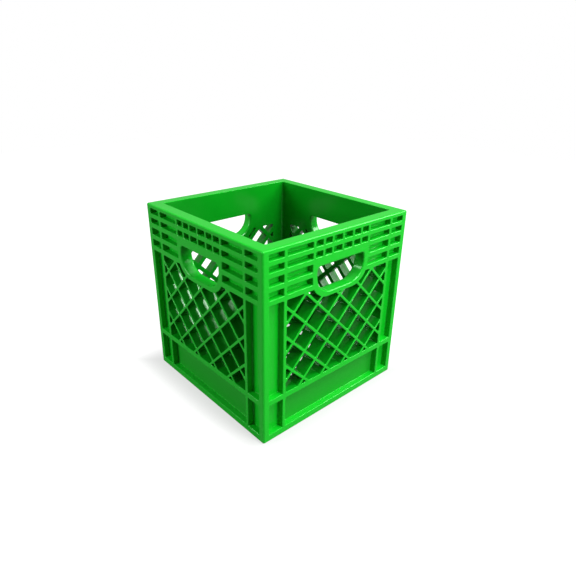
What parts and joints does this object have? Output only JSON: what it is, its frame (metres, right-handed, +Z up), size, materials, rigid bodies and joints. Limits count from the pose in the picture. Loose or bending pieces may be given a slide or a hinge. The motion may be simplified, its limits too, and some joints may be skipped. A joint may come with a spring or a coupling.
{
  "type": "stackable storage crate",
  "caption": "Square open-topped stacking crate in bright green plastic, with ribbed walls, an open diamond lattice and a D-shaped hand hold in every side.",
  "frame": {"origin": "on the ground under the middle of the crate", "axes": "+Z up through the open top, +Y to the back wall, +X to the right wall"},
  "size_m": [0.33, 0.33, 0.3347],
  "materials": {
    "green_plastic": "satin moulded polyethylene with a very fine grain"
  },
  "bodies": {
    "root": {"rim": "green_plastic", "front_vent_band": "green_plastic", "front_hand_grip": "green_plastic", "front_left_shoulder": "green_plastic", "front_right_shoulder": "green_plastic", "front_lattice": "green_plastic", "front_lower_panel": "green_plastic", "right_vent_band": "green_plastic", "right_hand_grip": "green_plastic", "right_left_shoulder": "green_plastic", "right_right_shoulder": "green_plastic", "right_lattice": "green_plastic", "right_lower_panel": "green_plastic", "back_vent_band": "green_plastic", "back_hand_grip": "green_plastic", "back_left_shoulder": "green_plastic", "back_right_shoulder": "green_plastic", "back_lattice": "green_plastic", "back_lower_panel": "green_plastic", "left_vent_band": "green_plastic", "left_hand_grip": "green_plastic", "left_left_shoulder": "green_plastic", "left_right_shoulder": "green_plastic", "left_lattice": "green_plastic", "left_lower_panel": "green_plastic", "front_right_corner_column": "green_plastic", "back_right_corner_column": "green_plastic", "back_left_corner_column": "green_plastic", "front_left_corner_column": "green_plastic", "foot": "green_plastic", "floor_grid": "green_plastic"}
  },
  "joints": []
}
